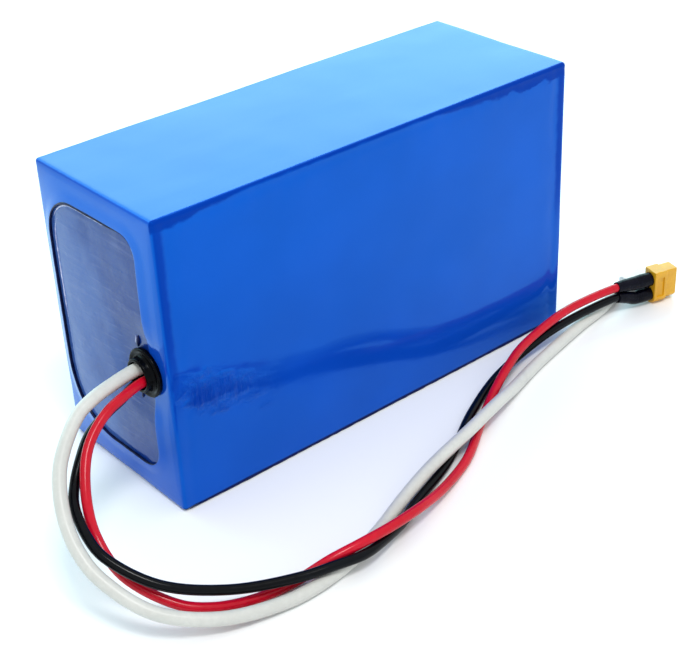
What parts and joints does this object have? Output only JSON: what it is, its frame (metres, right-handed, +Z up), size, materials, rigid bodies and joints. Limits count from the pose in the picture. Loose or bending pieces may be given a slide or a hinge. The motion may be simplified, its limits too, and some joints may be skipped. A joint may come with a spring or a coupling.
{
  "type": "battery pack",
  "caption": "Rechargeable battery pack: round cells in a blue heat-shrunk sleeve, with output wires and a charge cable through an end grommet to plugs.",
  "frame": {"origin": "centre of the wrapped pack's underside", "axes": "+X along the pack's length, away from the cable end; +Y across its width; +Z up. The cables leave at -X and lie on the -Y side."},
  "size_m": [0.3134, 0.1461, 0.119],
  "materials": {
    "blue_wrap": "glossy shrunk film",
    "end_board": "board seen through clear film",
    "pack_board": "satin fibre board",
    "foam": "matt closed-cell foam",
    "fish_paper": "matt insulating paper",
    "fibre_tape": "glossy fibre-laid tape",
    "cell_sleeve": "glossy thin sleeve",
    "nickel": "bright nickel strip",
    "glue": "cured adhesive",
    "sense_wire": "satin wire insulation",
    "probe": "satin resin bead",
    "circuit_board": "glossy solder mask",
    "transistor": "moulded case",
    "heat_spreader": "milled",
    "white_plastic": "moulded, satin",
    "grommet_rubber": "satin moulded rubber",
    "red_lead": "soft satin insulation",
    "black_lead": "soft satin insulation",
    "grey_sheath": "satin cable sheath",
    "black_sleeve": "shrunk sleeving",
    "amber_nylon": "moulded nylon",
    "gold_contact": "thin gold plating",
    "tin_contact": "tin plating"
  },
  "bodies": {
    "root": {"shrink_wrap": "blue_wrap", "window_board": "end_board", "far_end_board": "end_board", "top_board": "pack_board", "bottom_board": "pack_board", "side_board_front": "pack_board", "side_board_back": "pack_board", "foam_pad_top": "foam", "foam_pad_bottom": "foam", "foam_pad_front": "foam", "foam_pad_back": "foam", "insulation_paper_front": "fish_paper", "insulation_paper_back": "fish_paper", "fibre_tape_bands": "fibre_tape", "cell_group_01": "cell_sleeve", "cell_group_02": "cell_sleeve", "cell_group_03": "cell_sleeve", "cell_group_04": "cell_sleeve", "cell_group_05": "cell_sleeve", "cell_group_06": "cell_sleeve", "cell_group_07": "cell_sleeve", "cell_group_08": "cell_sleeve", "cell_group_09": "cell_sleeve", "cell_group_10": "cell_sleeve", "ring_papers_front": "fish_paper", "ring_papers_back": "fish_paper", "nickel_plate_front_1": "nickel", "nickel_plate_front_2": "nickel", "nickel_plate_front_3": "nickel", "nickel_plate_front_4": "nickel", "nickel_plate_front_5": "nickel", "nickel_plate_back_1": "nickel", "nickel_plate_back_2": "nickel", "nickel_plate_back_3": "nickel", "nickel_plate_back_4": "nickel", "nickel_plate_back_5": "nickel", "nickel_plate_back_6": "nickel", "glue_beads": "glue", "positive_strip": "nickel", "negative_lead": "black_lead", "balance_harness_front": "sense_wire", "balance_harness_back": "sense_wire", "temperature_probe": "probe", "protection_board": "circuit_board", "board_transistors": "transistor", "board_heat_spreader": "heat_spreader", "balance_socket": "white_plastic", "board_foam_tape": "foam", "grommet": "grommet_rubber", "inner_output_leads": "red_lead", "red_wire": "red_lead", "black_wire": "black_lead", "charge_cable": "grey_sheath", "red_contact_sleeve": "black_sleeve", "black_contact_sleeve": "black_sleeve", "connector_housing": "amber_nylon", "connector_contacts": "gold_contact", "charge_boot": "grey_sheath", "charge_plug_housing": "white_plastic", "charge_plug_contacts": "tin_contact"}
  },
  "joints": []
}
